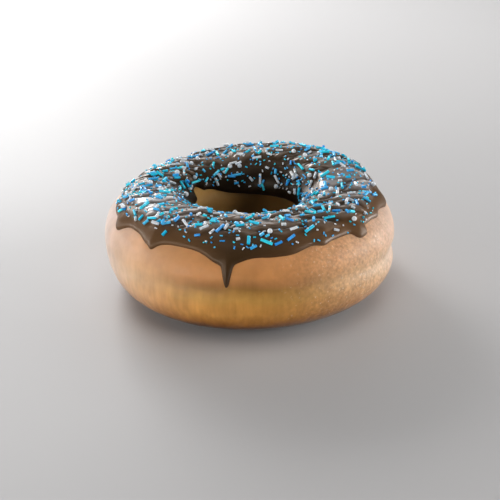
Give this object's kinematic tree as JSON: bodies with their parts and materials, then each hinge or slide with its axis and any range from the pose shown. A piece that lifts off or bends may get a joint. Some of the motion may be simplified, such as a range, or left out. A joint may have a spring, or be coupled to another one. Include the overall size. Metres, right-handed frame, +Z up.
{
  "type": "doughnut",
  "caption": "Ring doughnut with chocolate icing that drips down its side and blue and white sugar sprinkles; it rests flat on its underside.",
  "frame": {"origin": "middle of the flat underside that the doughnut rests on", "axes": "+Z up through the hole, -Y the front with the long drip of icing, +X to the right seen from the front"},
  "size_m": [0.096, 0.0963, 0.0359],
  "materials": {
    "dough": "soft fried crust, matt with a slight sheen",
    "icing": "set chocolate icing, glossy, wrinkled on top",
    "cyan_sugar": "dyed sugar, satin",
    "blue_sugar": "dyed sugar, satin",
    "white_sugar": "clear to white sugar, glossy"
  },
  "bodies": {
    "root": {"dough": "dough", "icing": "icing"}
  },
  "joints": []
}
